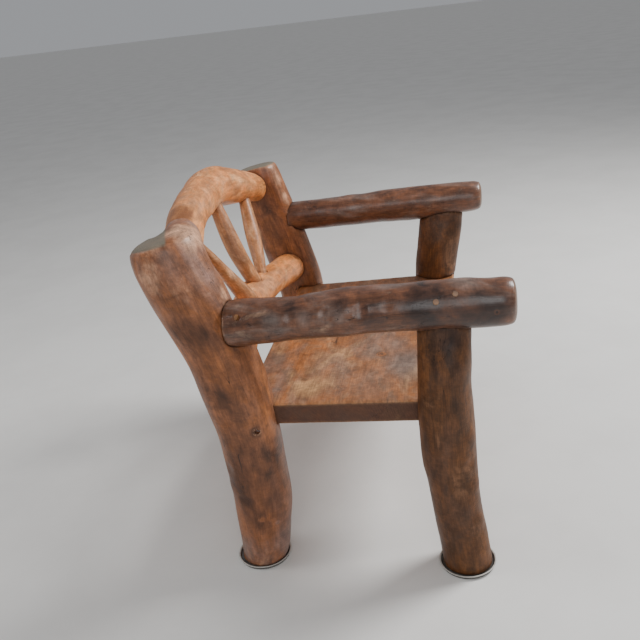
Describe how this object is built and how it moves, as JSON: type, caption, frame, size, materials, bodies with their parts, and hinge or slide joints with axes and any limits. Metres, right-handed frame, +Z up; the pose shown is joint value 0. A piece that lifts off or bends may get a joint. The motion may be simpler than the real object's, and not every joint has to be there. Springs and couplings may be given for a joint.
{
  "type": "log armchair",
  "caption": "Low rustic armchair of crooked peeled logs with a thick slab seat, log arms, an arched top rail over a fan of spindles, and a shallow round cup under each foot.",
  "frame": {"origin": "on the floor under the middle of the chair's bounding box", "axes": "+Z up, the sitter faces -Y, and -X is the sitter's right"},
  "size_m": [0.9188, 0.7582, 0.8171],
  "materials": {
    "waxed_log": "waxed peeled log, warm orange-brown waxed hardwood with darker mottling, satin",
    "waxed_slab": "sawn and waxed slab, mottled tan-brown, satin",
    "plug_wood": "pale wood plug, satin",
    "screw_steel": "plain steel screw, dull",
    "cup_plastic": "grey-brown plastic foot cup, matt"
  },
  "bodies": {
    "root": {"seat_slab": "waxed_slab", "top_rail": "waxed_log", "lower_rail": "waxed_log", "spindle_right": "waxed_log", "spindle_middle": "waxed_log", "spindle_left": "waxed_log", "back_post_right": "waxed_log", "front_leg_right": "waxed_log", "arm_right": "waxed_log", "foot_cup_front_right": "cup_plastic", "foot_cup_rear_right": "cup_plastic", "arm_screw_leg_front_right": "screw_steel", "arm_plug_leg_front_right": "plug_wood", "arm_screw_leg_rear_right": "screw_steel", "arm_plug_leg_rear_right": "plug_wood", "arm_screw_post_right": "screw_steel", "arm_plug_post_right": "plug_wood", "seat_screw_right": "screw_steel", "back_post_left": "waxed_log", "front_leg_left": "waxed_log", "arm_left": "waxed_log", "foot_cup_front_left": "cup_plastic", "foot_cup_rear_left": "cup_plastic", "arm_screw_leg_front_left": "screw_steel", "arm_plug_leg_front_left": "plug_wood", "arm_screw_leg_rear_left": "screw_steel", "arm_plug_leg_rear_left": "plug_wood", "arm_screw_post_left": "screw_steel", "arm_plug_post_left": "plug_wood", "seat_screw_left": "screw_steel"}
  },
  "joints": []
}
